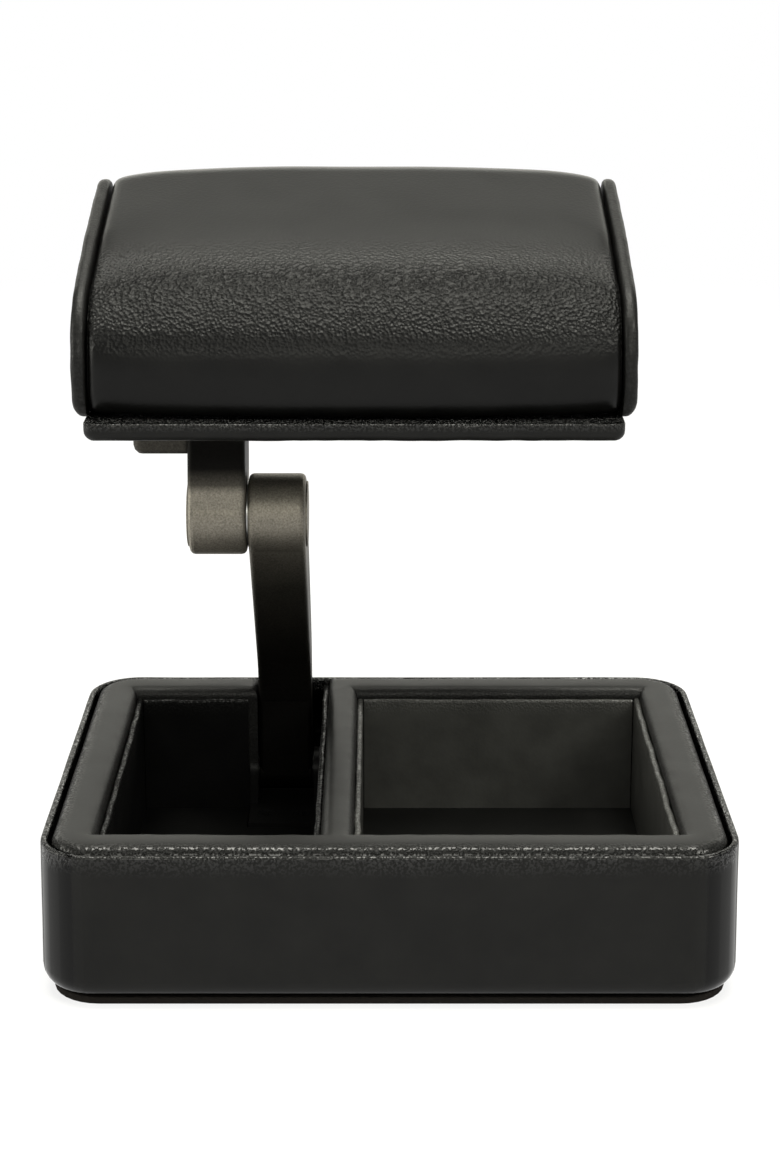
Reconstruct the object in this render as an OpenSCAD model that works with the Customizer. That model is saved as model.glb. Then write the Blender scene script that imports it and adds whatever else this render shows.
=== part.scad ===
// Folding stand for one watch: a leather-wrapped tray with two lined compartments, a two-bar
// metal arm with a friction knuckle, and a padded cuff that carries the watch.
// X runs to the right, Y to the back and Z up. The origin is under the middle of the tray.

/* [Tray] */
// Width of the tray over the leather
base_w = 130; // [120:1:160]
// Depth of the tray over the leather
base_d = 100; // [96:1:120]
// Height of the rim of the tray above the table
base_h = 30.2; // [27:0.2:34]
// Corner radius of the tray in plan
corner_r = 10; // [7:0.5:14]
// How far each side bellies out above the bottom edge
belly = 0.6; // [0:0.1:1]
// Rounding along the bottom edge of the tray
bottom_round = 4; // [1:0.5:5]
// Thickness of the tray's wrapped wall
wall_t = 1.3; // [1:0.1:2]
// Thickness of the tray's floor
floor_t = 1.5; // [1.2:0.1:2.5]
// Thickness of the pad under the tray
pad_t = 1.4; // [1:0.1:2]
// How far the pad's edge stands back from the tray's side
pad_inset = 1.4; // [1:0.2:4]

/* [Insert frame] */
// Width of the frame's bars beside the tray's wall
bar_w = 8.4; // [7.5:0.1:9.5]
// How far the frame's top stands above the rim
frame_rise = 0.9; // [0.4:0.1:2]
// Rounding of the frame's edges
frame_round = 1.6; // [0.8:0.1:2]
// Width of the bar between the two compartments
divider_w = 6.2; // [5:0.2:8]
// Place of the dividing bar's middle to the right of the tray's middle
divider_x = -9.9; // [-12:0.2:-8]
// Gap between the frame and the tray's wall
groove = 0.4; // [0.3:0.1:0.6]

/* [Lining] */
// Thickness of the panels that line the compartments
liner_t = 1.3; // [1:0.1:1.6]
// How far the panels' upper edge lies below the rim
liner_drop = 1.4; // [1:0.1:3]
// Thickness of the panels on the floor
floor_panel_t = 0.7; // [0.5:0.1:1]
// Gap left where panels meet in the corners
liner_gap = 0.2; // [0.1:0.1:0.4]

/* [Arm] */
// Width of each bar of the arm
arm_w = 11.6; // [10:0.2:12]
// Place of the gap between the two bars to the right of the tray's middle
arm_x = -28.6; // [-29.5:0.1:-28.5]
// Diameter of the knuckle
knuckle_d = 16.5; // [15:0.5:17]
// Place of the knuckle's axis behind the tray's middle
knuckle_y = 13.5; // [11:0.5:15]
// Height of the knuckle's axis
knuckle_z = 78; // [73:0.2:82]
// Height of the lower pivot's axis
pivot_z = 11; // [10.5:0.5:12]
// Thickness of the arm beside the knuckle
arm_t = 16; // [13:0.5:16.5]
// Thickness of the arm at its foot
foot_t = 8; // [7:0.2:8]
// Lean of the lower bar below the knuckle, from upright
lean = 36; // [33:1:42]
// Radius of the bend where the lower bar turns down into the tray
bend_r = 25; // [20:1:28]
// Rounding of the arm's long edges
arm_round = 1.1; // [0.6:0.1:1.6]
// Gap between the foot and the tray's back wall
foot_gap = 0.8; // [0.6:0.1:1.2]

/* [Hinges] */
// Gap between the two knuckles, and between foot and bracket, for a friction washer
washer_gap = 0.4; // [0.4:0.1:0.6]
// Thickness of the friction washers
washer_t = 0.3; // [0.2:0.05:0.35]
// Diameter of the bolt through the knuckles
bolt_d = 5; // [4:0.5:5.5]
// Diameter of the bolt's head
head_d = 9.4; // [8.4:0.2:9.6]
// Height of the bolt's head
head_h = 2.6; // [2:0.2:3]
// Diameter of the recess in each knuckle for the head or the nut
recess_d = 10.4; // [10.2:0.1:11]
// Depth of that recess
recess_h = 5; // [4.6:0.1:5.2]
// Size of the nut across its flats
nut_af = 8; // [7:0.2:8.4]
// Thickness of each spring washer
spring_t = 0.7; // [0.5:0.1:0.8]
// Diameter of the caps on the knuckles' ends
cap_d = 13.4; // [12:0.2:14]
// How far a cap stands out
cap_t = 0.4; // [0.3:0.1:1]
// Length of a cap's plug in the recess
plug_h = 0.8; // [0.6:0.1:1]
// Diameter of the lower pivot's pin
pin_d = 4; // [3:0.5:4]
// Radial clearance of pins and bolts in their bores
run_gap = 0.05; // [0.03:0.01:0.08]
// Thickness of the bracket's cheeks
cheek_t = 1.6; // [1.2:0.1:1.8]
// Thickness of the bracket's plate
plate_t = 1.5; // [1.2:0.1:2]
// How far the cheeks stand past the foot, at the front and above
cheek_edge = 0.8; // [0.5:0.1:1]
// How far the plate reaches forward of its cheeks
plate_reach = 11; // [9:0.5:14]
// Thread diameter of the bracket's screws
small_screw_d = 2; // [1.6:0.2:2.4]

/* [Mounting block] */
// Height of the block under the cuff
block_h = 11; // [10:0.2:12.6]
// Depth of the block from front to back
block_d = 28; // [24:1:32]
// How far the block reaches to the left of the arm
block_reach = 11; // [9:0.2:13]
// Place of the block's front behind the tray's middle
block_y = 9; // [8.5:0.5:12]
// Corner radius of the block
block_r = 2; // [1.5:0.1:3]
// Thread diameter of the block's screws
screw_d = 3; // [2.5:0.1:3.4]
// Distance of the screws from the block's ends
screw_inset = 6; // [5:0.5:8]
// Lean of the upper bar above the knuckle, from upright
upper_lean = 9; // [5:1:12]
// Thickness of the upper bar
upper_t = 16.2; // [15:0.1:16.4]

/* [Cuff] */
// Place of the cuff's middle to the right of the tray's middle
cuff_x = -6.6; // [-10:0.1:-4]
// Height of the cuff's board above the knuckle's axis
cuff_rise = 24.2; // [22:0.2:28]
// Width of the board
board_w = 101.1; // [96:0.1:110]
// Depth of the board
board_d = 73; // [72:0.5:80]
// Place of the board's front edge behind the tray's middle
board_y = -25; // [-28:0.5:-24]
// Thickness of the board
board_t = 3.5; // [3.3:0.1:4]
// Corner radius of the board
board_r = 2.2; // [2:0.2:4]
// Rounding of the board's edges
board_round = 1.6; // [1:0.1:1.6]
// Thickness of the side panels
panel_t = 2.7; // [2:0.1:3.4]
// Depth of the side panels
panel_d = 62; // [58:0.5:64]
// Height of the side panels at their highest point, above the board
panel_h = 37.6; // [34:0.2:42]
// Height at which the panels' front starts to round over, above the board
knee_h = 9.8; // [8:0.2:12]
// Radius of the panels' front shoulder
knee_r = 15; // [11:0.5:17]
// Radius of the panels' back shoulder
back_r = 8; // [6:0.5:12]
// Place of the middle of the panels' slope, as a share of their depth
slope_y = 0.52; // [0.48:0.01:0.56]
// Height of the slope there, as a share of the panels' height
slope_h = 0.83; // [0.81:0.01:0.87]
// Radius of the slope's rounding
slope_r = 13; // [11:0.5:14]
// Radius of the panels' lower corners
heel_r = 3; // [2:0.2:4]
// Gap between the board and what stands on it
seat_gap = 0.4; // [0.2:0.1:0.6]
// How far the board's front edge stands before the panels
ledge = 6.2; // [4:0.2:8]
// Gap between the pad and each panel
pad_gap = 0.3; // [0.2:0.1:0.6]
// How far the padding swells above the panels
pad_swell = 2.7; // [1.5:0.1:5]
// How far the padding's ends lie inside the panels' outline
end_drop = 0.6; // [0.2:0.1:1]
// Length over which the padding swells from each end
swell_run = 22; // [16:1:28]

/* [Hidden] */

leather = [0.13, 0.13, 0.125];
lining = [0.2, 0.2, 0.19];
gunmetal = [0.42, 0.39, 0.35];
steel = [0.62, 0.62, 0.6];

// Play between parts that only stand beside each other, and rounding of hidden edges
slack = 0.3;
edge = 0.3;
screw_sink = 0.1;
eps = 0.01;

// Levels and edges inside the tray
tray_z = pad_t;
tray_floor = pad_t + floor_t;
in_w = base_w - 2 * wall_t;
in_d = base_d - 2 * wall_t;
in_r = corner_r - wall_t;
frame_w = in_w - 2 * groove;
frame_d = in_d - 2 * groove;
frame_r = in_r - groove;
frame_top = base_h + frame_rise;
win_x = frame_w / 2 - bar_w;
win_y = frame_d / 2 - bar_w;
div_left = divider_x - divider_w / 2;
div_right = divider_x + divider_w / 2;
liner_top = base_h - liner_drop;
panel_top = tray_floor + floor_panel_t;

// Places of the arm's two bars, its pivots and its bracket
low_x = arm_x + washer_gap / 2;
up_x = arm_x - washer_gap / 2;
pivot_y = in_d / 2 - foot_gap - foot_t / 2;
bracket_l = low_x - washer_gap - cheek_t;
bracket_r = low_x + arm_w + washer_gap + cheek_t;
bracket_top = pivot_z + foot_t / 2 + cheek_edge;
bracket_f = pivot_y - foot_t / 2 - cheek_edge;
bracket_b = pivot_y + foot_t / 2 + slack;
block_z = knuckle_z + cuff_rise - block_h;

// Places of the cuff's parts
panel_x = board_w / 2 + eps;
panel_round = panel_t / 2 - eps;
board_z = knuckle_z + cuff_rise;
seat_z = board_z + board_t;
cuff_front = board_y + ledge;
screw_x = up_x - arm_w - block_reach / 2;
screw_ys = [block_y + screw_inset, block_y + block_d - screw_inset];

// A box with rounded corners in plan and rounded edges above and below; it may narrow upwards
module soft_slab(w, d, h, r, top, bottom, narrow = 0) {
    hull()
        for (x = [-1, 1], y = [-1, 1])
            translate([x * (w / 2 - r), y * (d / 2 - r), 0])
                rotate_extrude($fn = 32)
                    soft_half(r, h, top, bottom, narrow);
}

// Half of the section of a round pillar with rounded edges
module soft_half(r, h, top, bottom, narrow = 0) {
    arc = [0:30:90];
    polygon(concat([[0, 0]],
        [for (a = arc) [r - bottom + bottom * sin(a), bottom - bottom * cos(a)]],
        [for (a = arc) [r - narrow - top + top * cos(a), h - top + top * sin(a)]],
        [[0, h]]));
}

// A plain box from its edges
module block(x0, x1, y0, y1, z0, z1) {
    translate([x0, y0, z0])
        cube([x1 - x0, y1 - y0, z1 - z0]);
}

// A round bar along X
module x_rod(x0, x1, y, z, d) {
    translate([x0, y, z])
        rotate([0, 90, 0])
            cylinder(d = d, h = x1 - x0, $fn = 64);
}

// A round bar along X whose two rims are rounded
module x_drum(x0, x1, y, z, d, rim) {
    translate([x0, y, z])
        rotate([0, 90, 0])
            rotate_extrude($fn = 64)
                soft_half(d / 2, x1 - x0, rim, rim);
}

// A bar along X with another, wider or narrower, bore through it
module x_ring(x0, x1, y, z, d, bore) {
    difference() {
        x_rod(x0, x1, y, z, d);
        x_rod(x0 - 1, x1 + 1, y, z, bore);
    }
}

// A plate of even thickness with an upper edge rounded like turned leather
module liner(w, h, t) {
    translate([-w / 2, 0, 0])
        rotate([90, 0, 90])
            linear_extrude(w) {
                translate([-t / 2, 0])
                    square([t, h - t / 2]);
                translate([0, h - t / 2])
                    circle(d = t, $fn = 32);
            }
}

// A liner that runs along X with its middle at x, y
module liner_x(x0, x1, y) {
    translate([(x0 + x1) / 2, y, panel_top])
        liner(x1 - x0, liner_top - panel_top, liner_t);
}

// A liner that runs along Y with its middle at x, y
module liner_y(y0, y1, x) {
    translate([x, (y0 + y1) / 2, panel_top])
        rotate([0, 0, 90])
            liner(y1 - y0, liner_top - panel_top, liner_t);
}

module base_pad() {
    color([0.05, 0.05, 0.05])
        soft_slab(base_w - 2 * pad_inset, base_d - 2 * pad_inset, pad_t,
            corner_r - pad_inset / 2, edge, edge);
}

module base_tray() {
    color(leather)
        difference() {
            translate([0, 0, tray_z])
                soft_slab(base_w + 2 * belly, base_d + 2 * belly, base_h - tray_z,
                    corner_r + belly, wall_t / 2 - eps, bottom_round, belly);
            translate([0, 0, tray_floor])
                linear_extrude(base_h)
                    round_plan(in_w, in_d, in_r);
            bracket_holes(tray_z - 1);
        }
}

// A rectangle with round corners
module round_plan(w, d, r) {
    square([w - 2 * r, d], center = true);
    square([w, d - 2 * r], center = true);
    for (x = [-1, 1], y = [-1, 1])
        translate([x * (w / 2 - r), y * (d / 2 - r)])
            circle(r, $fn = 64);
}

// The holes of the bracket's two screws
module bracket_holes(z) {
    for (x = bracket_screw_xs)
        translate([x, bracket_screw_y, z])
            cylinder(d = small_screw_d + 2 * run_gap, h = tray_floor + plate_t - z + 1, $fn = 24);
}
bracket_screw_xs = [bracket_l + 4, bracket_r - 4];
bracket_screw_y = bracket_f - plate_reach / 2;

// What is cut away above a window so that its upper edge is rounded
module window(x0, x1, y0, y1) {
    block(x0, x1, y0, y1, 0, base_h * 2);
    w = x1 - x0;
    d = y1 - y0;
    translate([(x0 + x1) / 2, (y0 + y1) / 2, frame_top - frame_round])
        hull()
            for (k = [0:15:90])
                translate([0, 0, frame_round * sin(k)])
                    linear_extrude(eps)
                        square([w, d] + [2, 2] * frame_round * (1 - cos(k)), center = true);
}

module insert_frame() {
    color(leather)
        difference() {
            translate([0, 0, tray_floor])
                soft_slab(frame_w, frame_d, frame_top - tray_floor, frame_r, frame_round, edge);
            window(-win_x, div_left, -win_y, win_y);
            window(div_right, win_x, -win_y, win_y);
            block(low_x - slack, div_left, win_y - 1, base_d, 0, base_h * 2);
            block(bracket_l - slack, div_left, win_y - 1, base_d, 0, bracket_top + slack);
        }
}

module left_front_liner() {
    color(lining)
        liner_x(-win_x + liner_t + liner_gap, div_left - liner_t - liner_gap,
            -win_y + liner_t / 2);
}

module left_back_liner() {
    color(lining)
        liner_x(-win_x + liner_t + liner_gap, bracket_l - slack, win_y - liner_t / 2);
}

module left_outer_liner() {
    color(lining)
        liner_y(-win_y, win_y, -win_x + liner_t / 2);
}

module left_divider_liner() {
    color(lining)
        liner_y(-win_y, in_d / 2 - liner_gap, div_left - liner_t / 2);
}

module left_floor_panel() {
    color(lining)
        difference() {
            block(-win_x, div_left, -win_y, win_y, tray_floor, panel_top);
            block(bracket_l - slack, div_left + 1, bracket_f - plate_reach - slack, base_d,
                0, base_h);
        }
}

module right_front_liner() {
    color(lining)
        liner_x(div_right + liner_t + liner_gap, win_x - liner_t - liner_gap,
            -win_y + liner_t / 2);
}

module right_back_liner() {
    color(lining)
        liner_x(div_right + liner_t + liner_gap, win_x - liner_t - liner_gap,
            win_y - liner_t / 2);
}

module right_outer_liner() {
    color(lining)
        liner_y(-win_y, win_y, win_x - liner_t / 2);
}

module right_divider_liner() {
    color(lining)
        liner_y(-win_y, win_y, div_right + liner_t / 2);
}

module right_floor_panel() {
    color(lining)
        block(div_right, win_x, -win_y, win_y, tray_floor, panel_top);
}

// One cheek of the bracket, seen from the side
module cheek_plan() {
    translate([bracket_f, tray_floor])
        square([bracket_b - bracket_f, pivot_z - tray_floor]);
    translate([pivot_y, pivot_z])
        intersection() {
            circle(r = bracket_top - pivot_z, $fn = 64);
            translate([bracket_f - pivot_y, -1])
                square([bracket_b - bracket_f, base_h]);
        }
}

module hinge_bracket() {
    color(gunmetal)
        difference() {
            union() {
                for (x = [bracket_l, bracket_r - cheek_t])
                    translate([x, 0, 0])
                        rotate([90, 0, 90])
                            linear_extrude(cheek_t)
                                cheek_plan();
                block(bracket_l, bracket_r, bracket_f - plate_reach, bracket_b,
                    tray_floor, tray_floor + plate_t);
            }
            x_rod(bracket_l - 1, bracket_r + 1, pivot_y, pivot_z, pin_d + 2 * run_gap);
            bracket_holes(0);
            for (x = bracket_screw_xs)
                translate([x, bracket_screw_y, tray_floor + plate_t])
                    screw_head(small_screw_d, slack / 2);
        }
}

// A countersunk head whose flat face looks up; grow opens it into a seat
module screw_head(d, grow) {
    translate([0, 0, -d / 2])
        cylinder(d1 = d + 2 * grow, d2 = 2 * d + 2 * grow, h = d / 2 + eps, $fn = 48);
}

// A countersunk screw with its face at the origin and a cross-shaped drive
module screw(d, length) {
    difference() {
        union() {
            screw_head(d, 0);
            translate([0, 0, -length])
                cylinder(d = d, h = length - d / 4, $fn = 48);
        }
        for (a = [0, 90])
            rotate([0, 0, a])
                translate([-d * 0.6, -d * 0.1, -d * 0.3])
                    cube([d * 1.2, d * 0.2, d]);
    }
}

module bracket_screws() {
    color(steel)
        for (x = bracket_screw_xs)
            translate([x, bracket_screw_y, tray_floor + plate_t - screw_sink])
                screw(small_screw_d, floor_t + plate_t - slack);
}

module pivot_pin() {
    color(steel)
        x_rod(bracket_l, bracket_r, pivot_y, pivot_z, pin_d);
}

module pivot_washers() {
    color(steel)
        for (x = [bracket_l + cheek_t, bracket_r - cheek_t - washer_t])
            x_ring(x, x + washer_t, pivot_y, pivot_z, foot_t - 0.6, pin_d + 2 * run_gap);
}

// The lower bar runs straight from the knuckle and then bends down into the tray
bend_t = (arm_t + 2 * foot_t) / 3;
straight_run = (pivot_y - bend_r * (1 - cos(lean)) - knuckle_y) / sin(lean);
bend_z = knuckle_z - straight_run * cos(lean) - bend_r * sin(lean);

// Stations of a bar: [y, z, lean from upright in degrees, thickness]
lower_path = concat(
    [for (s = [0:0.125:1])
        let (run = s * straight_run)
        [knuckle_y + run * sin(lean), knuckle_z - run * cos(lean), lean,
            arm_t + (bend_t - arm_t) * s]],
    [for (s = [0.1:0.1:1])
        let (a = lean * (1 - s))
        [pivot_y - bend_r * (1 - cos(a)), bend_z + bend_r * sin(a), a,
            bend_t + (foot_t - bend_t) * s]],
    [[pivot_y, pivot_z, 0, foot_t]]);

// The upper bar leans back from the knuckle and is cut level under the board
upper_path = [for (z = [knuckle_z, board_z])
    [knuckle_y + (z - knuckle_z) * tan(upper_lean), z, 0, upper_t / cos(upper_lean)]];

// A bar of rounded section swept along stations in the YZ plane
module swept_bar(path, x0) {
    n = 32;
    function ring(p) = [for (i = [0:n - 1])
        let (a = 360 * (i + 0.5) / n,
            u = sign(cos(a)) * (arm_w / 2 - arm_round) + arm_round * cos(a),
            v = sign(sin(a)) * (p[3] / 2 - arm_round) + arm_round * sin(a))
        [x0 + arm_w / 2 + u, p[0] + v * cos(p[2]), p[1] + v * sin(p[2])]];
    points = [for (p = path) each ring(p)];
    last = (len(path) - 1) * n;
    sides = [for (k = [0:len(path) - 2], i = [0:n - 1])
        let (j = (i + 1) % n, a = k * n + i, b = k * n + j)
        each [[a, b + n, b], [a, a + n, b + n]]];
    polyhedron(points, concat([[for (i = [0:n - 1]) i]], sides,
        [[for (i = [n - 1:-1:0]) last + i]]), convexity = 6);
}

module lower_arm() {
    color(gunmetal)
        difference() {
            union() {
                swept_bar([for (i = [len(lower_path) - 1:-1:0]) lower_path[i]], low_x);
                x_drum(low_x, low_x + arm_w, knuckle_y, knuckle_z, knuckle_d, arm_round);
                x_drum(low_x, low_x + arm_w, pivot_y, pivot_z, foot_t, arm_round / 3);
            }
            x_rod(low_x - 1, low_x + arm_w + 1, knuckle_y, knuckle_z, bolt_d + 2 * run_gap);
            x_rod(low_x + arm_w - recess_h, low_x + arm_w + 1, knuckle_y, knuckle_z, recess_d);
            x_rod(low_x - 1, low_x + arm_w + 1, pivot_y, pivot_z, pin_d + 2 * run_gap);
        }
}

head_x = up_x - arm_w + recess_h - 2 * spring_t - washer_gap / 4;

module knuckle_bolt() {
    color(steel)
        difference() {
            union() {
                x_rod(head_x - head_h, head_x, knuckle_y, knuckle_z, head_d);
                x_rod(head_x - eps, low_x + arm_w - plug_h - slack, knuckle_y, knuckle_z, bolt_d);
            }
            translate([head_x - head_h - 1, knuckle_y, knuckle_z])
                rotate([0, 90, 0])
                    cylinder(d = bolt_d * 0.8, h = head_h * 0.6 + 1, $fn = 6);
        }
}

module knuckle_nut() {
    nut_x = low_x + arm_w - recess_h;
    color(steel)
        difference() {
            translate([nut_x, knuckle_y, knuckle_z])
                rotate([0, 90, 0])
                    cylinder(d = nut_af / cos(30), h = recess_h - plug_h - 2 * slack, $fn = 6);
            x_rod(nut_x - 1, nut_x + recess_h, knuckle_y, knuckle_z, bolt_d + 2 * run_gap);
        }
}

module spring_washers() {
    color(steel)
        for (k = [0, 1])
            x_ring(head_x + k * spring_t, head_x + (k + 1) * spring_t - 0.05,
                knuckle_y, knuckle_z, head_d, bolt_d + 2 * run_gap);
}

module knuckle_washer() {
    color(steel)
        x_ring(low_x - washer_t, low_x, knuckle_y, knuckle_z, knuckle_d - 3,
            bolt_d + 2 * run_gap);
}

// A cap that stands on a knuckle's end with its plug in the recess; side is -1 or 1
module cap(x, side) {
    translate([x, knuckle_y, knuckle_z])
        rotate([0, side * 90, 0]) {
            rotate_extrude($fn = 64)
                soft_half(cap_d / 2, cap_t, cap_t / 2, 0);
            translate([0, 0, -plug_h])
                cylinder(d = recess_d - 2 * run_gap, h = plug_h + eps, $fn = 64);
        }
}

module right_cap() {
    color(gunmetal)
        cap(low_x + arm_w, 1);
}

module left_cap() {
    color(gunmetal)
        cap(up_x - arm_w, -1);
}

module upper_arm() {
    block_w = arm_w + block_reach;
    color(gunmetal)
        difference() {
            union() {
                swept_bar(upper_path, up_x - arm_w);
                x_drum(up_x - arm_w, up_x, knuckle_y, knuckle_z, knuckle_d, arm_round);
                translate([up_x - block_w / 2, block_y + block_d / 2, block_z])
                    soft_slab(block_w, block_d, block_h, block_r, edge, block_r);
            }
            x_rod(up_x - arm_w - 1, up_x + 1, knuckle_y, knuckle_z, bolt_d + 2 * run_gap);
            x_rod(up_x - arm_w - 1, up_x - arm_w + recess_h, knuckle_y, knuckle_z, recess_d);
            block_holes(run_gap);
            for (y = screw_ys)
                translate([screw_x, y, block_z])
                    rotate([180, 0, 0])
                        screw_head(screw_d, slack / 2);
        }
}

// The holes of the block's screws, blind in the board
module block_holes(grow) {
    for (y = screw_ys)
        translate([screw_x, y, block_z - 1])
            cylinder(d = screw_d + 2 * grow, h = block_h + board_t + seat_gap, $fn = 24);
}

module block_screws() {
    color(steel)
        for (y = screw_ys)
            translate([screw_x, y, block_z + screw_sink])
                rotate([180, 0, 0])
                    screw(screw_d, block_h + board_t - 1);
}

module cuff_board() {
    color(leather)
        difference() {
            translate([cuff_x, board_y + board_d / 2, board_z])
                soft_slab(board_w, board_d, board_t, board_r, board_round, board_round);
            block_holes(run_gap);
        }
}

// Round stations that the cuff's side outline is drawn over: [y, z, radius]
knee_part = knee_h - seat_gap;
knee_arc = max(0, knee_r - knee_part);
cuff_stations = [
    [cuff_front + heel_r, seat_z + seat_gap + heel_r, heel_r],
    for (a = [0:30:60])
        [cuff_front + knee_part + knee_arc * (1 - cos(a)), seat_z + knee_h + knee_arc * sin(a),
            knee_part],
    [cuff_front + panel_d * slope_y, seat_z + panel_h * slope_h - slope_r, slope_r],
    [cuff_front + panel_d - back_r, seat_z + panel_h - back_r, back_r],
    [cuff_front + panel_d - heel_r, seat_z + seat_gap + heel_r, heel_r]];

// Steps of the padding's swell: [share of the swelling length, growth, rounding]
pad_steps = [[0, -end_drop, 1], [0.1, 0.4 * pad_swell, 2], [0.4, 0.7 * pad_swell, 4],
    [1, pad_swell, 6]];

// A slice of the cuff across X, its outline grown by grow and its edges rounded by rim
module cuff_slice(x0, x1, grow, rim) {
    hull()
        cuff_drums(x0, x1, grow, rim);
}

module cuff_drums(x0, x1, grow, rim) {
    for (s = cuff_stations)
        translate([x0, s[0], s[1] + max(0, grow - (s[1] - seat_z - s[2]))])
            rotate([0, 90, 0])
                rotate_extrude($fn = 32)
                    soft_half(s[2] + grow, x1 - x0, min(rim, s[2] / 2), min(rim, s[2] / 2));
}

module left_cuff_panel() {
    color(leather)
        cuff_slice(cuff_x - panel_x - panel_t, cuff_x - panel_x, 0, panel_round);
}

module right_cuff_panel() {
    color(leather)
        cuff_slice(cuff_x + panel_x, cuff_x + panel_x + panel_t, 0, panel_round);
}

// The padded roll between the panels swells from its ends to its middle
module cuff_padding() {
    color(leather)
        hull()
            for (s = pad_steps)
                let (end_x = panel_x - pad_gap - s[0] * swell_run)
                    cuff_drums(cuff_x - end_x, cuff_x + end_x, s[1], s[2]);
}

base_pad();
base_tray();
insert_frame();
left_front_liner();
left_back_liner();
left_outer_liner();
left_divider_liner();
left_floor_panel();
right_front_liner();
right_back_liner();
right_outer_liner();
right_divider_liner();
right_floor_panel();
hinge_bracket();
bracket_screws();
pivot_pin();
pivot_washers();
lower_arm();
knuckle_bolt();
knuckle_nut();
spring_washers();
knuckle_washer();
right_cap();
upper_arm();
left_cap();
block_screws();
cuff_board();
left_cuff_panel();
right_cuff_panel();
cuff_padding();
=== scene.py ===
import math

import bpy
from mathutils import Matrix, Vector, noise


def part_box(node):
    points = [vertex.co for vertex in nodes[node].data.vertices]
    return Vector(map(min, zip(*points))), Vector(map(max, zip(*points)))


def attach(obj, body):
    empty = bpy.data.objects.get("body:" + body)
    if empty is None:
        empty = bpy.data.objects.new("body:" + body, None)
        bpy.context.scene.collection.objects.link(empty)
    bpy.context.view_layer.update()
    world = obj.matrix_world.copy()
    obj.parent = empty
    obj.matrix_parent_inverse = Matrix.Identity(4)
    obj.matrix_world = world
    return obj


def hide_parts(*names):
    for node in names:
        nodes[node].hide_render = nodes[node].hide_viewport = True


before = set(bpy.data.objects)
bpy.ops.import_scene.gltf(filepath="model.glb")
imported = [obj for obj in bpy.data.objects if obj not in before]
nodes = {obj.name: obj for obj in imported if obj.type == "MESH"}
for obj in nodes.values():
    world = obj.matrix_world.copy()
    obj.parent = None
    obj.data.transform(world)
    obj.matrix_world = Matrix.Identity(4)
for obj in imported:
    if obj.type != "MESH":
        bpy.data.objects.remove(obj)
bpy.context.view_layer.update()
mm = 0.001
print("frame loaded,", len(nodes), "nodes")


def pick(*objects):
    bpy.ops.object.select_all(action="DESELECT")
    for obj in objects:
        obj.select_set(True)
    bpy.context.view_layer.objects.active = objects[0]


def openEdit(obj, kind):
    pick(obj)
    bpy.ops.object.mode_set(mode="EDIT")
    bpy.ops.mesh.select_mode(type=kind)
    bpy.ops.mesh.select_all(action="DESELECT")


def closeEdit():
    bpy.ops.object.mode_set(mode="OBJECT")


def chooseFaces(obj, test):
    # leaves the object in edit mode with just these faces selected
    openEdit(obj, "FACE")
    closeEdit()
    for face in obj.data.polygons:
        face.select = test(face.center, face.normal)
    bpy.ops.object.mode_set(mode="EDIT")


def chooseEdges(obj, test):
    openEdit(obj, "EDGE")
    closeEdit()
    points = [v.co.copy() for v in obj.data.vertices]
    for edge in obj.data.edges:
        edge.select = test(points[edge.vertices[0]], points[edge.vertices[1]])
    bpy.ops.object.mode_set(mode="EDIT")


def chooseRim(obj, test, angle=30):
    # sharp edges that also pass the test
    openEdit(obj, "EDGE")
    bpy.ops.mesh.edges_select_sharp(sharpness=math.radians(angle))
    closeEdit()
    points = [v.co.copy() for v in obj.data.vertices]
    for edge in obj.data.edges:
        edge.select = edge.select and test(points[edge.vertices[0]], points[edge.vertices[1]])
    for vertex in obj.data.vertices:
        vertex.select = False
    for face in obj.data.polygons:
        face.select = False
    bpy.ops.object.mode_set(mode="EDIT")


def roundEdges(width, segments):
    bpy.ops.mesh.bevel(offset=width, segments=segments, affect="EDGES", profile=0.5)
    closeEdit()


def pickNothing():
    pick(nodes["base_pad"])
    bpy.ops.object.select_all(action="DESELECT")


def addBlock(name, low, high):
    pickNothing()
    middle = (Vector(low) + Vector(high)) / 2
    size = Vector(high) - Vector(low)
    bpy.ops.mesh.primitive_cube_add(size=1, location=middle, scale=size)
    obj = bpy.context.object
    obj.name = name
    bpy.ops.object.transform_apply(location=True, rotation=True, scale=True)
    return obj


def cutAcross(obj, axis, positions):
    # loops across the whole piece, so that it can bend and wave
    openEdit(obj, "EDGE")
    direction = [0, 0, 0]
    direction[axis] = 1
    for position in positions:
        bpy.ops.mesh.select_all(action="SELECT")
        point = [0, 0, 0]
        point[axis] = position
        bpy.ops.mesh.bisect(plane_co=point, plane_no=direction)
    closeEdit()


def steps(start, end, pitch):
    count = max(2, round((end - start) / pitch))
    return [start + (end - start) * k / count for k in range(1, count)]


def wave(point, size, seed=0.0):
    # smooth noise between -1 and 1, its lumps about "size" long
    return noise.noise(Vector(point) / size + Vector((seed, seed * 1.7, seed * 0.6)))


def moveVertices(obj, shift):
    normals = [v.normal.copy() for v in obj.data.vertices]
    for vertex, normal in zip(obj.data.vertices, normals):
        vertex.co = vertex.co + shift(vertex.co.copy(), normal)
    obj.data.update()


def paint(obj, name, value):
    layer = obj.data.attributes.new(name, "FLOAT", "POINT")
    for k, vertex in enumerate(obj.data.vertices):
        layer.data[k].value = value(vertex.co, vertex.normal)


def outwards(obj):
    openEdit(obj, "FACE")
    bpy.ops.mesh.select_all(action="SELECT")
    bpy.ops.mesh.remove_doubles(threshold=0.000002)
    bpy.ops.mesh.normals_make_consistent(inside=False)
    closeEdit()


def smooth(obj, angle=40):
    pick(obj)
    bpy.ops.object.shade_smooth_by_angle(angle=math.radians(angle))


def softer(obj, levels):
    modifier = obj.modifiers.new("softer", "SUBSURF")
    modifier.levels = levels
    modifier.render_levels = levels
    pick(obj)
    bpy.ops.object.modifier_apply(modifier=modifier.name)


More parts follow.
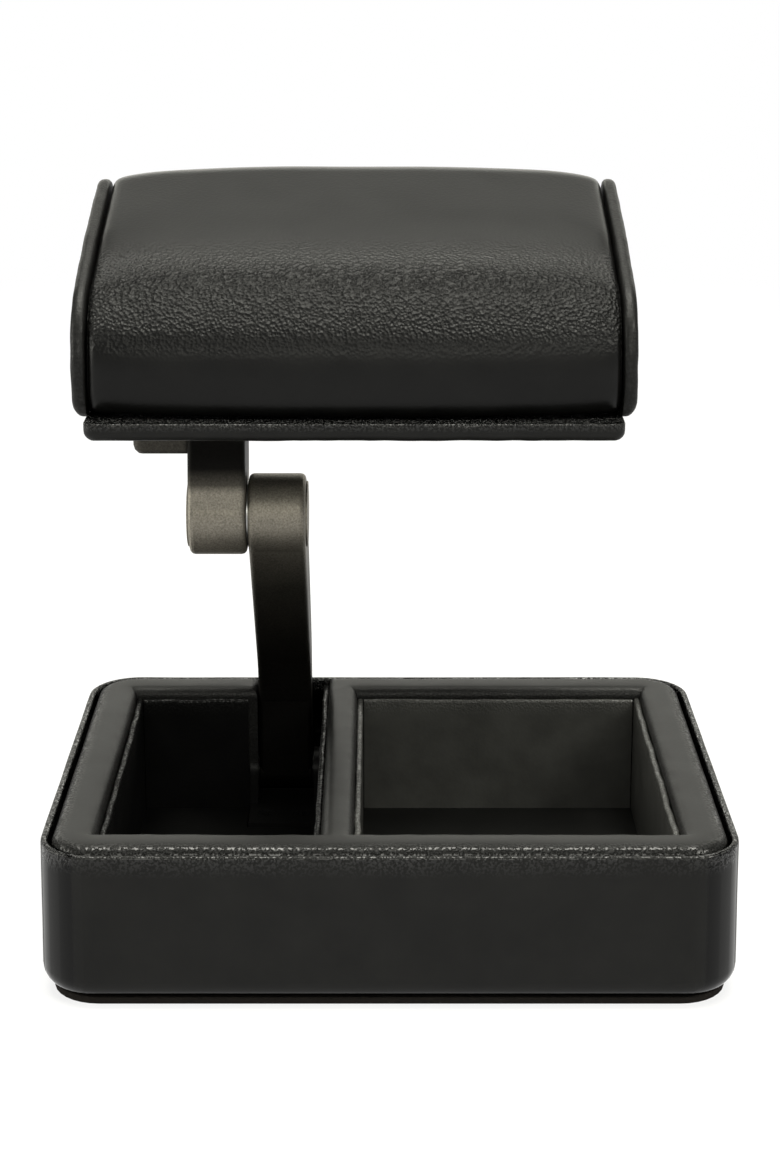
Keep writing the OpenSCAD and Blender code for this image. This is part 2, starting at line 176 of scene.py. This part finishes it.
def settle(obj, body, slot, finish, *replaced):
    obj.data.materials.clear()
    obj.data.materials.append(finish)
    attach(obj, body)
    if replaced:
        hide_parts(*replaced)
    return obj


class Wire:
    # a shader socket that can be written into sums
    def __init__(self, tree, socket):
        self.tree = tree
        self.socket = socket

    def maths(self, operation, first, second):
        node = self.tree.nodes.new("ShaderNodeMath")
        node.operation = operation
        for slot, value in zip(node.inputs, (first, second)):
            if isinstance(value, Wire):
                self.tree.links.new(value.socket, slot)
            else:
                slot.default_value = value
        return Wire(self.tree, node.outputs[0])

    def __add__(self, other):
        return self.maths("ADD", self, other)

    def __sub__(self, other):
        return self.maths("SUBTRACT", self, other)

    def __rsub__(self, other):
        return self.maths("SUBTRACT", other, self)

    def __mul__(self, other):
        return self.maths("MULTIPLY", self, other)

    __radd__ = __add__
    __rmul__ = __mul__


class Finish:
    def __init__(self, name, colour, metallic=0.0):
        self.material = bpy.data.materials.new(name)
        self.material.use_nodes = True
        self.material.diffuse_color = (*colour, 1)
        self.material.metallic = metallic
        self.tree = self.material.node_tree
        self.tree.nodes.clear()
        self.object = self.add("ShaderNodeTexCoord", {}, {}, "Object")

    def add(self, kind, settings, sockets, output=0):
        node = self.tree.nodes.new(kind)
        for name, value in settings.items():
            if name == "stops":
                while len(node.color_ramp.elements) < len(value):
                    node.color_ramp.elements.new(0.5)
                for stop, (place, shade) in zip(node.color_ramp.elements, value):
                    stop.position = place
                    stop.color = (shade, shade, shade, 1)
            else:
                setattr(node, name, value)
        for name, value in sockets.items():
            if isinstance(value, Wire):
                self.tree.links.new(value.socket, node.inputs[name])
            else:
                node.inputs[name].default_value = value
        if output is not None:
            return Wire(self.tree, node.outputs[output])

    def lumps(self, scale, detail=2.0, rough=0.5):
        sockets = {"Vector": self.object, "Scale": scale, "Detail": detail, "Roughness": rough}
        return self.add("ShaderNodeTexNoise", {}, sockets, "Fac")

    def ramp(self, value, *stops):
        return self.add("ShaderNodeValToRGB", {"stops": stops}, {"Fac": value}, "Color")

    def blend(self, factor, first, second):
        # goes from the first colour to the second as the factor grows
        node = self.tree.nodes.new("ShaderNodeMix")
        node.data_type = "RGBA"
        self.tree.links.new(factor.socket, node.inputs[0])
        node.inputs[6].default_value = (*first, 1)
        node.inputs[7].default_value = (*second, 1)
        return Wire(self.tree, node.outputs[2])

    def painted(self, name):
        return self.add("ShaderNodeAttribute", {"attribute_name": name}, {}, "Fac")

    def scaled(self, colour, share):
        sockets = {0: colour, "Scale": share}
        return self.add("ShaderNodeVectorMath", {"operation": "SCALE"}, sockets, "Vector")

    def relief(self, height, depth, strength, under=None):
        sockets = {"Strength": strength, "Distance": depth, "Height": height}
        if under:
            sockets["Normal"] = under
        return self.add("ShaderNodeBump", {}, sockets, "Normal")

    def finish(self, varying, fixed):
        return self.close(self.add("ShaderNodeBsdfPrincipled", {}, {**fixed, **varying}, "BSDF"))

    def close(self, surface):
        self.add("ShaderNodeOutputMaterial", {}, {"Surface": surface}, None)
        return self.material


leatherLook = {
    "pebble": 1500,      # grains per metre
    "unevenness": 130,
    "crinkle": 2000,
}


def makeLeather(name, dark, pale, pebbleDepth, roughness, crinkles, shine=0.21):
    # reads three painted values: grain, crinkle at wrapped edges, and painted shade in the gaps between
    # parts
    look = leatherLook
    leather = Finish(name, pale)
    warp = leather.lumps(look["pebble"] * 0.45, 2, 0.5)
    cells = leather.add("ShaderNodeTexVoronoi", {"feature": "SMOOTH_F1"},
                        {"Vector": leather.object, "Scale": look["pebble"], "Smoothness": 0.4}, "Distance")
    pores = leather.lumps(look["pebble"] * 2.2, 3, 0.6)
    broad = leather.lumps(look["unevenness"], 4, 0.55)
    height = cells * 0.8 + pores * 0.22 + warp * 0.2
    relief = leather.relief(height, pebbleDepth, 0.05 + 0.95 * leather.painted("grain"))
    sheen = 0.0
    if crinkles:
        edge = leather.painted("crinkle")
        folds = leather.lumps(look["crinkle"], 2, 0.5)
        sharp = leather.ramp(folds, (0.42, 0.0), (0.6, 1.0))
        relief = leather.relief(sharp, crinkles, edge, relief)
        sheen = edge * leather.ramp(folds, (0.48, 0.0), (0.58, 1.0))
    shade = leather.ramp(broad, (0.3, 0.0), (0.72, 1.0))
    colour = leather.blend(shade, dark, pale)
    gap = leather.painted("gap")
    # painted shade: the colour goes dark in the gaps between parts
    colour = leather.scaled(colour, 1 - gap)
    gloss = roughness + 0.1 * (broad - 0.5) + 0.08 * (pores - 0.5) - 0.38 * gap
    varying = {"Base Color": colour, "Roughness": gloss, "Normal": relief, "Coat Weight": sheen}
    return leather.finish(varying, {"Specular IOR Level": shine, "IOR": 1.5, "Coat Roughness": 0.28})


black = (0.0032, 0.0032, 0.003)
charcoal = (0.0055, 0.0055, 0.0051)
wrapLeather = makeLeather("wrapLeather", black, charcoal, 0.00012, 0.48, 0.0005, 0.17)
soot = (0.0014, 0.0014, 0.0013)
jet = (0.0026, 0.0026, 0.0024)
cuffLeather = makeLeather("cuffLeather", soot, jet, 0.0006, 0.38, 0.0, 0.2)
ash = (0.028, 0.028, 0.026)
slate = (0.042, 0.042, 0.039)
liningLeather = makeLeather("liningLeather", ash, slate, 0.0004, 0.5, 0.0004)
# a darker, duller copy of the lining leather: painted shade for the left compartment
liningShadeDark = (0.001, 0.001, 0.001)
liningShadePale = (0.002, 0.002, 0.002)
shadedLiningLeather = makeLeather("shadedLiningLeather", liningShadeDark, liningShadePale, 0.0004, 0.6, 0.0004, 0.08)

metalLook = {
    "dark": (0.155, 0.143, 0.12),
    "pale": (0.3, 0.277, 0.234),
    "blast": 2600,       # speckles per metre
    "leftShadeShare": 0.8,    # how much of the painted shade is kept left of the side
}


def makeShadedGunmetal(name, bright, dark, side=-1.0):
    # painted shade: the colour goes dark between two heights, all the way only to the right of "side"
    look = metalLook
    metal = Finish(name, look["pale"], 1.0)
    speckle = metal.lumps(look["blast"], 2, 0.7)
    cloud = metal.lumps(120, 3, 0.5)
    height = metal.add("ShaderNodeSeparateXYZ", {}, {"Vector": metal.object}, "Z")
    across = metal.add("ShaderNodeSeparateXYZ", {}, {"Vector": metal.object}, "X")
    paintedShade = metal.ramp((height - bright) * (1 / (dark - bright)), (0.0, 1.0), (0.35, 0.25), (1.0, 0.02))
    grain = metal.ramp(speckle * 0.8 + cloud * 0.2, (0.34, 0.0), (0.66, 1.0))
    colour = metal.blend(grain, look["dark"], look["pale"])
    share = metal.ramp((across - side) * 1000, (0.0, look["leftShadeShare"]), (1.0, 1.0))
    colour = metal.scaled(colour, 1 - (1 - paintedShade) * share)
    relief = metal.relief(speckle, 0.00004, 0.25)
    return metal.finish({"Base Color": colour, "Roughness": 0.55 + 0.12 * (cloud - 0.5), "Normal": relief},
                        {"Metallic": 0.9})


def makeSteel(name, dark, pale, metallic):
    steel = Finish(name, pale, metallic)
    turned = steel.lumps(900, 2, 0.6)
    colour = steel.blend(turned, dark, pale)
    return steel.finish({"Base Color": colour, "Roughness": 0.3 + 0.15 * turned},
                        {"Metallic": metallic, "Specular IOR Level": 0.08})


def makeFelt():
    felt = Finish("footFelt", (0.008, 0.008, 0.008))
    nap = felt.lumps(1800, 3, 0.7)
    colour = felt.blend(nap, (0.004, 0.004, 0.004), (0.016, 0.013, 0.011))
    relief = felt.relief(nap, 0.0001, 0.6)
    varying = {"Base Color": colour, "Normal": relief}
    return felt.finish(varying, {"Roughness": 0.9, "Specular IOR Level": 0.1})


# painted shade: the lower arm darkens toward its foot, the upper arm just under the board and, a little
# less, on its lug left of the knuckle
footShadedMetal = makeShadedGunmetal("footShadedMetal", 79 * mm, 28 * mm)
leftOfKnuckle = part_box("left_cap")[0].x - 0.4 * mm
boardShadedMetal = makeShadedGunmetal("boardShadedMetal", 84 * mm, 89 * mm, leftOfKnuckle)
plainSteel = makeSteel("plainSteel", (0.33, 0.33, 0.32), (0.5, 0.5, 0.49), 1.0)
# painted shade: the hinge hardware down in the left compartment's slot is near black and not metallic
shadedSteel = makeSteel("shadedSteel", (0.004, 0.004, 0.004), (0.009, 0.009, 0.009), 0.0)
footFelt = makeFelt()
for finish, names in (
    (footShadedMetal, ("lower_arm", "right_cap")),
    (boardShadedMetal, ("upper_arm", "left_cap")),
    # painted shade on the hinge hardware in the slot
    (shadedSteel, ("hinge_bracket", "bracket_screws", "pivot_pin", "pivot_washers")),
    (plainSteel, ("knuckle_bolt", "knuckle_nut", "spring_washers", "knuckle_washer", "block_screws")),
    (footFelt, ("base_pad",)),
    # painted shade: the left floor panel lies in the shaded compartment
    (shadedLiningLeather, ("left_floor_panel",)),
    (wrapLeather, ("right_floor_panel",)),
):
    for name in names:
        nodes[name].data.materials.clear()
        nodes[name].data.materials.append(finish)
print("finishes made")


tray = {
    "lip": 1.3 * mm,
    "lipRound": 0.6 * mm,
    "corner": 10.6 * mm,
    "narrow": 0.25 * mm,  # how far the sides lean in at the top
    "foot": 4 * mm,
    "floor": 1.5 * mm,
    "pitch": 2.2 * mm,
    "crinkle": 1.5 * mm,
    "wave": 0.05 * mm,
}


def makeTray():
    low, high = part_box("base_tray")
    obj = addBlock("trayWrap", low, high)
    chooseEdges(obj, lambda a, b: abs(a.z - b.z) > 0.01)
    roundEdges(tray["corner"], 10)
    chooseEdges(obj, lambda a, b: a.z < low.z + 0.0001 and b.z < low.z + 0.0001)
    roundEdges(tray["foot"], 6)
    chooseFaces(obj, lambda centre, normal: normal.z > 0.9)
    bpy.ops.mesh.inset(thickness=tray["lip"])
    depth = high.z - low.z - tray["floor"]
    bpy.ops.mesh.extrude_region_move(TRANSFORM_OT_translate={"value": (0, 0, -depth)})
    closeEdit()
    chooseRim(obj, lambda a, b: min(a.z, b.z) > high.z - 0.0001)
    roundEdges(tray["lipRound"], 4)
    cutAcross(obj, 0, steps(low.x, high.x, tray["pitch"]))
    cutAcross(obj, 1, steps(low.y, high.y, tray["pitch"]))
    cutAcross(obj, 2, steps(low.z + tray["foot"], high.z - 2 * mm, tray["pitch"]))
    outwards(obj)

    def crinkled(p, n):
        return max(0.0, 1 - (high.z - p.z) / tray["crinkle"]) * (0.8 + 0.5 * wave(p, 9 * mm))

    paint(obj, "crinkle", crinkled)
    inside = tray["lip"] - 0.5 * mm
    # painted shade inside the lip, in the groove under the frame's edge
    paint(obj, "gap", lambda p, n: 0.95 if min(high.x - abs(p.x), high.y - abs(p.y)) > inside else 0.0)

    def shape(p, n):
        share = (p.z - low.z) / (high.z - low.z)
        lean = tray["narrow"] * share
        inward = Vector((math.copysign(lean, -p.x), math.copysign(lean, -p.y), 0))
        inward.x *= min(1, abs(p.x) / (30 * mm))
        inward.y *= min(1, abs(p.y) / (20 * mm))
        return inward + n * tray["wave"] * wave(p, 11 * mm, 3) * min(1, (p.z - low.z) / (5 * mm))

    moveVertices(obj, shape)
    smooth(obj, 50)
    return settle(obj, "base", "leather", wrapLeather, "base_tray")


makeTray()
print("tray wrapped")


insert = {
    "corner": 8.3 * mm,
    "round": 1.7 * mm,
    "crown": 0.45 * mm,
    "pitch": 1.5 * mm,
    "wave": 0.12 * mm,
    "broadWave": 0.1 * mm,
}


def makeInsert():
    low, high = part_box("insert_frame")
    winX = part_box("right_outer_liner")[1].x
    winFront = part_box("right_outer_liner")[0].y
    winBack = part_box("right_outer_liner")[1].y
    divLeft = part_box("left_divider_liner")[1].x
    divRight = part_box("right_divider_liner")[0].x
    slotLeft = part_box("lower_arm")[0].x - 0.3 * mm
    pickNothing()
    top = high.z - insert["crown"]
    bpy.ops.mesh.primitive_plane_add(size=1, location=(0, 0, top))
    obj = bpy.context.object
    obj.name = "insertWrap"
    obj.scale = (high.x - low.x, high.y - low.y, 1)
    bpy.ops.object.transform_apply(location=True, rotation=True, scale=True)
    openEdit(obj, "VERT")
    bpy.ops.mesh.select_all(action="SELECT")
    bpy.ops.mesh.bevel(offset=insert["corner"], segments=10, affect="VERTICES")
    closeEdit()
    cutAcross(obj, 0, [-winX, slotLeft, divLeft, divRight, winX])
    cutAcross(obj, 1, [winFront, winBack])

    def hole(centre, normal):
        inWidth = -winX < centre.x < divLeft or divRight < centre.x < winX
        inWindow = winFront < centre.y < winBack and inWidth
        inSlot = centre.y > winBack and slotLeft < centre.x < divLeft
        return inWindow or inSlot

    chooseFaces(obj, hole)
    bpy.ops.mesh.delete(type="FACE")
    bpy.ops.mesh.select_all(action="SELECT")
    bpy.ops.mesh.extrude_region_move(TRANSFORM_OT_translate={"value": (0, 0, low.z - top)})
    closeEdit()
    outwards(obj)
    chooseRim(obj, lambda a, b: min(a.z, b.z) > top - 0.0001)
    roundEdges(insert["round"], 6)
    cutAcross(obj, 0, steps(low.x, high.x, insert["pitch"]))
    cutAcross(obj, 1, steps(low.y, high.y, insert["pitch"]))
    outwards(obj)

    def outerDistance(p):
        across = abs(p.x) - high.x + insert["corner"]
        along = abs(p.y) - high.y + insert["corner"]
        if across > 0 and along > 0:
            return insert["corner"] - math.hypot(across, along)
        return min(high.x - abs(p.x), high.y - abs(p.y))

    def edgeDistance(p):
        windows = []
        for x0, x1 in ((-winX, divLeft), (divRight, winX)):
            dx = max(x0 - p.x, p.x - x1, 0)
            dy = max(winFront - p.y, p.y - winBack, 0)
            windows.append(math.hypot(dx, dy))
        dx = max(slotLeft - p.x, p.x - divLeft, 0)
        dy = max(winBack - p.y, 0)
        windows.append(math.hypot(dx, dy))
        return min(outerDistance(p), *windows)

    def puff(p, n):
        if p.z < top - insert["round"]:
            return Vector((0, 0, 0))
        reach = min(1, edgeDistance(p) / (3.6 * mm))
        rise = insert["crown"] * math.sin(reach * math.pi / 2)
        edge = math.exp(-((edgeDistance(p) - 0.9 * mm) / (1.1 * mm)) ** 2)
        ripple = insert["wave"] * edge * wave((p.x, p.y, 0), 3.2 * mm, 5)
        ripple += insert["broadWave"] * wave(p, 14 * mm, 8)
        return Vector((0, 0, rise + ripple))

    moveVertices(obj, puff)

    def crinkled(p, n):
        rim = max(0.0, 1 - max(0, outerDistance(p) - 0.9 * mm) / (1.2 * mm))
        return max(rim * (0.8 + 0.4 * wave(p, 8 * mm)), 0.2 * max(0.0, 1 - edgeDistance(p) / (1.6 * mm)))

    paint(obj, "crinkle", crinkled)
    # painted shade on the frame's outer foot, in the groove along the tray's lip
    paint(obj, "gap", lambda p, n: 0.95 if outerDistance(p) < 0.2 * mm and p.z < top - 0.9 * mm else 0.0)
    smooth(obj, 50)
    return settle(obj, "base", "leather", wrapLeather, "insert_frame")


makeInsert()
print("insert wrapped")


lining = {"pitch": 1.6 * mm, "sway": 0.28 * mm, "crinkle": 2.5 * mm}


def makeLiner(node, seed):
    low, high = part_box(node)
    obj = addBlock(node.replace("_", " ").title().replace(" ", "") + "Leather", low, high)
    along = 0 if high.x - low.x > high.y - low.y else 1
    thick = min(high.x - low.x, high.y - low.y)
    chooseEdges(obj, lambda a, b: min(a.z, b.z) > high.z - 0.0001 and abs(a[along] - b[along]) > 0.005)
    roundEdges(thick * 0.42, 4)
    cutAcross(obj, along, steps(low[along], high[along], lining["pitch"]))
    cutAcross(obj, 2, steps(low.z, high.z - 1.2 * mm, 2.5 * mm))
    outwards(obj)

    def sway(p, n):
        share = max(0.0, (p.z - low.z) / (high.z - low.z)) ** 3
        shift = [0, 0, 0]
        shift[1 - along] = lining["sway"] * share * wave((p[along], 0, 0), 6 * mm, seed)
        shift[2] = 0.5 * lining["sway"] * share * (wave((p[along], 0, 0), 4 * mm, seed + 7) - 0.6)
        return Vector(shift)

    moveVertices(obj, sway)
    paint(obj, "crinkle", lambda p, n: 0.5 * max(0.0, 1 - (high.z - p.z) / lining["crinkle"]))
    smooth(obj, 50)
    # painted shade: the left compartment lies in deep shadow, so its liners take a darker copy of the
    # lining leather
    finish = shadedLiningLeather if "left" in node else liningLeather
    return settle(obj, "base", "lining_leather", finish, node)


for seed, side in enumerate(("left", "right")):
    for turn, place in enumerate(("front", "back", "outer", "divider")):
        makeLiner(side + "_" + place + "_liner", 11 + 10 * seed + 3 * turn)
print("compartments lined")


board = {
    "corner": 2.2 * mm,
    "round": 1.9 * mm,
    "topRound": 0.25 * mm,
    "pitch": 1.4 * mm,
    "wave": 0.13 * mm,
}


def makeBoard():
    low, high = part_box("cuff_board")
    obj = addBlock("boardWrap", low, high)
    chooseEdges(obj, lambda a, b: abs(a.z - b.z) > 0.001)
    roundEdges(board["corner"], 6)
    chooseRim(obj, lambda a, b: max(a.z, b.z) < low.z + 0.0001)
    roundEdges(board["round"], 5)
    chooseRim(obj, lambda a, b: min(a.z, b.z) > high.z - 0.0001)
    roundEdges(board["topRound"], 3)
    cutAcross(obj, 0, steps(low.x, high.x, board["pitch"]))
    cutAcross(obj, 1, steps(low.y, high.y, board["pitch"] * 2))
    outwards(obj)

    def ripple(p, n):
        calm = 0.1 if max(n.z, abs(n.x)) > 0.5 else 1
        return n * board["wave"] * wave(p, 3.4 * mm, 21) * calm

    moveVertices(obj, ripple)
    paint(obj, "crinkle", lambda p, n: max(0.0, 1 - abs(high.z - 0.5 * mm - p.z) / (1.1 * mm)))
    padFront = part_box("cuff_padding")[0].y
    # painted shade on the board's top under the padding and just in front of it
    paint(obj, "gap", lambda p, n: 0.97 if n.z > 0.8 and p.y > padFront - 5 * mm else 0.0)
    smooth(obj, 50)
    return settle(obj, "cuff", "leather", wrapLeather, "cuff_board")


def sideOutline(node, count):
    # the panel seen from the side, as evenly spaced points round its edge
    points = sorted({(round(v.co.y, 6), round(v.co.z, 6)) for v in nodes[node].data.vertices})

    def half(run):
        chain = []
        for p in run:
            while len(chain) > 1:
                (ay, az), (by, bz) = chain[-2], chain[-1]
                if (by - ay) * (p[1] - az) - (bz - az) * (p[0] - ay) > 0:
                    break
                chain.pop()
            chain.append(p)
        return chain[:-1]

    ring = half(points) + half(points[::-1])
    lengths = [math.dist(ring[k], ring[(k + 1) % len(ring)]) for k in range(len(ring))]
    total = sum(lengths)
    even = []
    k = 0
    passed = 0.0
    for step in range(count):
        goal = total * step / count
        while passed + lengths[k] < goal:
            passed += lengths[k]
            k += 1
        a, b = ring[k], ring[(k + 1) % len(ring)]
        share = (goal - passed) / lengths[k]
        even.append((a[0] + (b[0] - a[0]) * share, a[1] + (b[1] - a[1]) * share))
    return even


def addOutline(name, outline, x0, x1):
    # a disc pulled onto the outline and drawn out along X
    pickNothing()
    bpy.ops.mesh.primitive_circle_add(vertices=len(outline), radius=0.01, fill_type="NGON")
    obj = bpy.context.object
    obj.name = name
    for vertex, (y, z) in zip(obj.data.vertices, outline):
        vertex.co = (x0, y, z)
    openEdit(obj, "FACE")
    bpy.ops.mesh.select_all(action="SELECT")
    bpy.ops.mesh.extrude_region_move(TRANSFORM_OT_translate={"value": (x1 - x0, 0, 0)})
    closeEdit()
    outwards(obj)
    return obj


panel = {
    "points": 150,
    "round": 1.3 * mm,
    "innerRound": 0.9 * mm,
    "seam": 1.0 * mm,
    "foot": 3 * mm,
    "sink": 1.0 * mm,    # the foot comes down beside the end of the board
    "wave": 0.1 * mm,
}
cuffMiddle = (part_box("cuff_board")[0].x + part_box("cuff_board")[1].x) / 2


def makePanel(node, name):
    low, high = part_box(node)
    inner = low.x if abs(low.x - cuffMiddle) < abs(high.x - cuffMiddle) else high.x
    outline = sideOutline(node, panel["points"])
    obj = addOutline(name, outline, low.x, high.x)
    chooseRim(obj, lambda a, b: abs(a.x - b.x) < 0.0001 and abs(a.x - inner) > 0.0001)
    roundEdges(panel["round"], 4)

    def innerRim(a, b):
        onInner = max(abs(a.x - inner), abs(b.x - inner)) < 0.0001
        return onInner and min(a.z, b.z) > low.z + 2 * mm

    chooseRim(obj, innerRim)
    roundEdges(panel["innerRound"], 3)
    chooseFaces(obj, lambda centre, normal: abs(normal.x) > 0.99)
    bpy.ops.mesh.inset(thickness=panel["seam"], use_individual=False)
    closeEdit()
    cutAcross(obj, 1, steps(low.y, high.y, 3 * mm))
    cutAcross(obj, 2, steps(low.z, high.z, 3 * mm))
    outwards(obj)
    edgePoints = [Vector((0, y, z)) for y, z in outline]

    def edgeDistance(p):
        flat = Vector((0, p.y, p.z))
        return min((flat - e).length for e in edgePoints)

    def tuck(p, n):
        # the leather is drawn in under the panel's foot
        share = max(0.0, 1 - (p.z - low.z) / panel["foot"])
        inward = (1 - math.sqrt(1 - min(1.0, share) ** 2)) * 0.6 * (inner - p.x)
        ripple = n * panel["wave"] * wave(p, 3.6 * mm, 31) * (1 - 0.9 * min(1, share))
        return Vector((inward, 0, -panel["sink"] * share)) + ripple

    moveVertices(obj, tuck)
    paint(obj, "crinkle", lambda p, n: max(0.0, 1 - edgeDistance(p) / (2.2 * mm)) * 0.15)
    smooth(obj, 50)
    return settle(obj, "cuff", "leather", wrapLeather, node)


padding = {
    "points": 96,
    # how far the roll stands out of the panels' outline, at distances from its end
    "swell": ((0, -2.2), (0.25, -1.1), (0.7, -0.3), (1.3, 0.2), (2.5, 0.65), (5.2, 1.15), (8.4, 1.6),
              (13, 2.0), (24.5, 2.5), (38, 2.7), (100, 2.7)),
    "pitch": 3 * mm,
    "flat": 0.12 * mm,
    "ease": 14,          # rounds of evening out that soften the knee
    "capRings": 3,
    "capRing": 1.2 * mm,
    "wave": 0.12 * mm,
    "knee": 10 * mm,     # half the height of the grained band
}


def swellAt(run):
    for (a, low), (b, high) in zip(padding["swell"], padding["swell"][1:]):
        if run <= b * mm:
            return (low + (high - low) * (run / mm - a) / (b - a)) * mm
    return high * mm


def makePadding():
    low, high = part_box("cuff_padding")
    outline = sideOutline("left_cuff_panel", padding["points"])
    obj = addOutline("cuffRoll", outline, low.x + padding["flat"], high.x - padding["flat"])
    places = [a * mm for a, rise in padding["swell"][1:9]]
    cutAcross(obj, 0, [low.x + place for place in places] + [high.x - place for place in places])
    cutAcross(obj, 0, steps(low.x + places[-1], high.x - places[-1], padding["pitch"]))
    chooseFaces(obj, lambda centre, normal: abs(normal.x) > 0.99)
    for ring in range(padding["capRings"]):
        bpy.ops.mesh.inset(thickness=padding["capRing"], use_individual=False)
    closeEdit()
    outwards(obj)
    count = len(outline)
    rounder = [Vector((0, y, z)) for y, z in outline]
    for turn in range(padding["ease"]):
        rounder = [(rounder[k - 1] + rounder[k] * 2 + rounder[(k + 1) % count]) / 4 for k in range(count)]
    outer = []
    for k, (y, z) in enumerate(outline):
        before = outline[k - 2]
        after = outline[(k + 2) % count]
        outer.append(Vector((0, after[1] - before[1], before[0] - after[0])).normalized())
    caps = {vertex for face in obj.data.polygons if abs(face.normal.x) > 0.99 for vertex in face.vertices}
    rim = {}
    for vertex in obj.data.vertices:
        p = vertex.co
        gaps = [(y - p.y) ** 2 + (z - p.z) ** 2 for y, z in outline]
        nearest = min(range(count), key=gaps.__getitem__)
        if gaps[nearest] < 1e-9:
            rim[vertex.index] = nearest
    for index, nearest in rim.items():
        p = obj.data.vertices[index].co
        run = min(p.x - low.x, high.x - p.x)
        soft = padding["wave"] * wave(p, 16 * mm, 41) * min(1, run / (6 * mm))
        foot = 1 if outer[nearest].z < -0.9 else 0
        ease = min(1, run / (7 * mm)) * max(0, min(1, (p.z - low.z - 2 * mm) / (6 * mm)))
        ease = ease * max(0, min(1, (high.z - 4 * mm - p.z) / (5 * mm)))
        eased = (rounder[nearest] - Vector((0, *outline[nearest]))) * ease
        moved = p + eased + outer[nearest] * (swellAt(run) + soft) * (1 - foot)
        moved.z = max(moved.z, low.z)
        obj.data.vertices[index].co = moved
    for index in caps - set(rim):
        p = obj.data.vertices[index].co
        pull = Vector((0, 0, (low.z + high.z) / 2 - p.z))
        obj.data.vertices[index].co = p + pull * 0.05
    softer(obj, 1)
    middle = (high.z + low.z) / 2 + 1.5 * mm

    def grainy(p, n):
        knee = max(0.0, min(1.0, 1.5 * (1 - abs(p.z - middle) / padding["knee"])))
        return knee * max(0.0, min(1.0, (low.y + 26 * mm - p.y) / (10 * mm)))

    paint(obj, "grain", grainy)
    smooth(obj, 180)
    return settle(obj, "cuff", "cuff_leather", cuffLeather, "cuff_padding")


makeBoard()
makePanel("left_cuff_panel", "leftPanelWrap")
makePanel("right_cuff_panel", "rightPanelWrap")
print("cuff board and panels wrapped")
makePadding()
print("cuff padded")


studio = {
    "eye": (-1.704 * mm, -465.64 * mm, 209.68 * mm),
    "pitch": 14.297,
    "focus": 2440,       # pixels, on a picture 1170 high
    "shift": (9.5, -117),
    "ambient": 0.1,
    # place, size and power of each lamp; all of them face the stand
    "lamps": {
        "backPanel": ((0, 1.25, 0.5), (2.2, 0.5), 8.4),
        "topPanel": ((0, 0.42, 1.1), (0.9, 0.66), 6.0),
        "overheadPanel": ((0, 0, 1.1), (0.9, 0.36), 18.0),
        "rightPanel": ((0.75, -0.55, 0.75), (0.5, 0.4), 8.0),
        "leftPanel": ((-0.95, -0.1, 0.3), (0.5, 0.5), 5.6),
        "frontPanel": ((0, -1.1, 0.58), (0.8, 0.2), 4.3),
    },
    "tint": (1.0, 0.99, 0.9),
    "paper": (0.85, 0.85, 0.85),
    "paperMiddle": (0, 2.5, 0),
    "paperSize": 16,
    "shadowShare": 0.2,  # how much of the light on the paper near the stand is seen
    "shadowReach": (0.15, 0.75),
}


def makeStudio():
    pickNothing()
    bpy.ops.mesh.primitive_plane_add(size=1, location=studio["paperMiddle"])
    floor = bpy.context.object
    floor.name = "floor"
    floor.scale = (studio["paperSize"], studio["paperSize"], 1)
    bpy.ops.object.transform_apply(location=True, rotation=True, scale=True)
    paper = Finish("whitePaper", studio["paper"])
    lit = paper.add("ShaderNodeBsdfDiffuse", {}, {"Color": (*studio["paper"], 1)}, "BSDF")
    glow = paper.add("ShaderNodeEmission", {}, {"Strength": 1}, "Emission")
    seen = paper.add("ShaderNodeLightPath", {}, {}, "Is Camera Ray")
    seen = seen + paper.add("ShaderNodeLightPath", {}, {}, "Is Glossy Ray")
    seen = seen + paper.add("ShaderNodeLightPath", {}, {}, "Is Transmission Ray")
    away = paper.add("ShaderNodeVectorMath", {"operation": "LENGTH"}, {0: paper.object}, "Value")
    near = paper.ramp(away, (studio["shadowReach"][0], 1.0), (studio["shadowReach"][1], 0.0))
    share = seen * (1 - studio["shadowShare"] * near)
    mix = paper.add("ShaderNodeMixShader", {}, {0: share, 1: lit, 2: glow}, "Shader")
    paper.close(mix)
    floor.data.materials.append(paper.material)

    scene = bpy.context.scene
    scene.world = bpy.data.worlds.new("room")
    scene.world.use_nodes = True
    background = scene.world.node_tree.nodes["Background"]
    background.inputs["Color"].default_value = (1, 1, 1, 1)
    background.inputs["Strength"].default_value = studio["ambient"]

    for name, (place, size, power) in studio["lamps"].items():
        light = bpy.data.lights.new(name, "AREA")
        light.shape = "RECTANGLE"
        light.size = size[0]
        light.size_y = size[1]
        light.energy = power
        light.color = studio["tint"]
        lamp = bpy.data.objects.new(name, light)
        scene.collection.objects.link(lamp)
        lamp.location = place
        direction = Vector((0, 0, 0.08)) - Vector(place)
        lamp.rotation_euler = direction.to_track_quat("-Z", "Y").to_euler()

    camera = bpy.data.cameras.new("camera")
    camera.sensor_width = 36
    camera.lens = 36 * studio["focus"] / 1170
    camera.shift_x = studio["shift"][0] / 1170
    camera.shift_y = studio["shift"][1] / 1170
    camera.clip_start = 0.01
    eye = bpy.data.objects.new("camera", camera)
    scene.collection.objects.link(eye)
    eye.location = studio["eye"]
    eye.rotation_euler = (math.radians(90 - studio["pitch"]), 0, 0)
    scene.camera = eye
    scene.view_settings.view_transform = "Standard"


makeStudio()
print("studio set")
